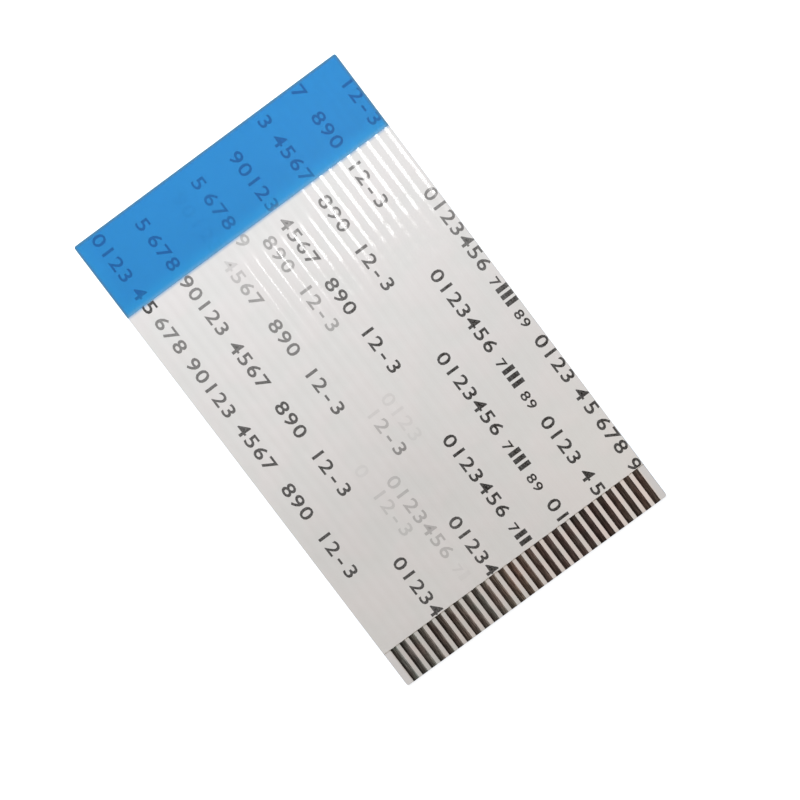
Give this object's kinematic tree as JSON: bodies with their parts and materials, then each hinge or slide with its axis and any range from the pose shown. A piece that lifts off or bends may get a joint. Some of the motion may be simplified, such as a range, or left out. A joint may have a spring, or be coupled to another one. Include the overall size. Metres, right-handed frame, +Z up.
{
  "type": "flat flex cable",
  "caption": "Short white flat flex cable with ribbed laminated films over a row of flat conductors, bare contacts at each end on opposite sides and blue stiffeners behind them.",
  "frame": {"origin": "bottom centre of the cable's bounding box, on the surface that it lies on", "axes": "+X along the cable towards the end whose bare contacts face up, +Y across it, +Z up"},
  "size_m": [0.05, 0.029, 0.0005],
  "materials": {
    "white_film": "satin white polyester film",
    "blue_stiffener": "satin translucent blue polyester",
    "tinned_conductor": "rolled, tin plated"
  },
  "bodies": {
    "root": {"upper_film": "white_film", "lower_film": "white_film", "upper_stiffener": "blue_stiffener", "lower_stiffener": "blue_stiffener", "conductor_01": "tinned_conductor", "conductor_02": "tinned_conductor", "conductor_03": "tinned_conductor", "conductor_04": "tinned_conductor", "conductor_05": "tinned_conductor", "conductor_06": "tinned_conductor", "conductor_07": "tinned_conductor", "conductor_08": "tinned_conductor", "conductor_09": "tinned_conductor", "conductor_10": "tinned_conductor", "conductor_11": "tinned_conductor", "conductor_12": "tinned_conductor", "conductor_13": "tinned_conductor", "conductor_14": "tinned_conductor", "conductor_15": "tinned_conductor", "conductor_16": "tinned_conductor", "conductor_17": "tinned_conductor", "conductor_18": "tinned_conductor", "conductor_19": "tinned_conductor", "conductor_20": "tinned_conductor", "conductor_21": "tinned_conductor", "conductor_22": "tinned_conductor", "conductor_23": "tinned_conductor", "conductor_24": "tinned_conductor", "conductor_25": "tinned_conductor", "conductor_26": "tinned_conductor", "conductor_27": "tinned_conductor", "conductor_28": "tinned_conductor"}
  },
  "joints": []
}
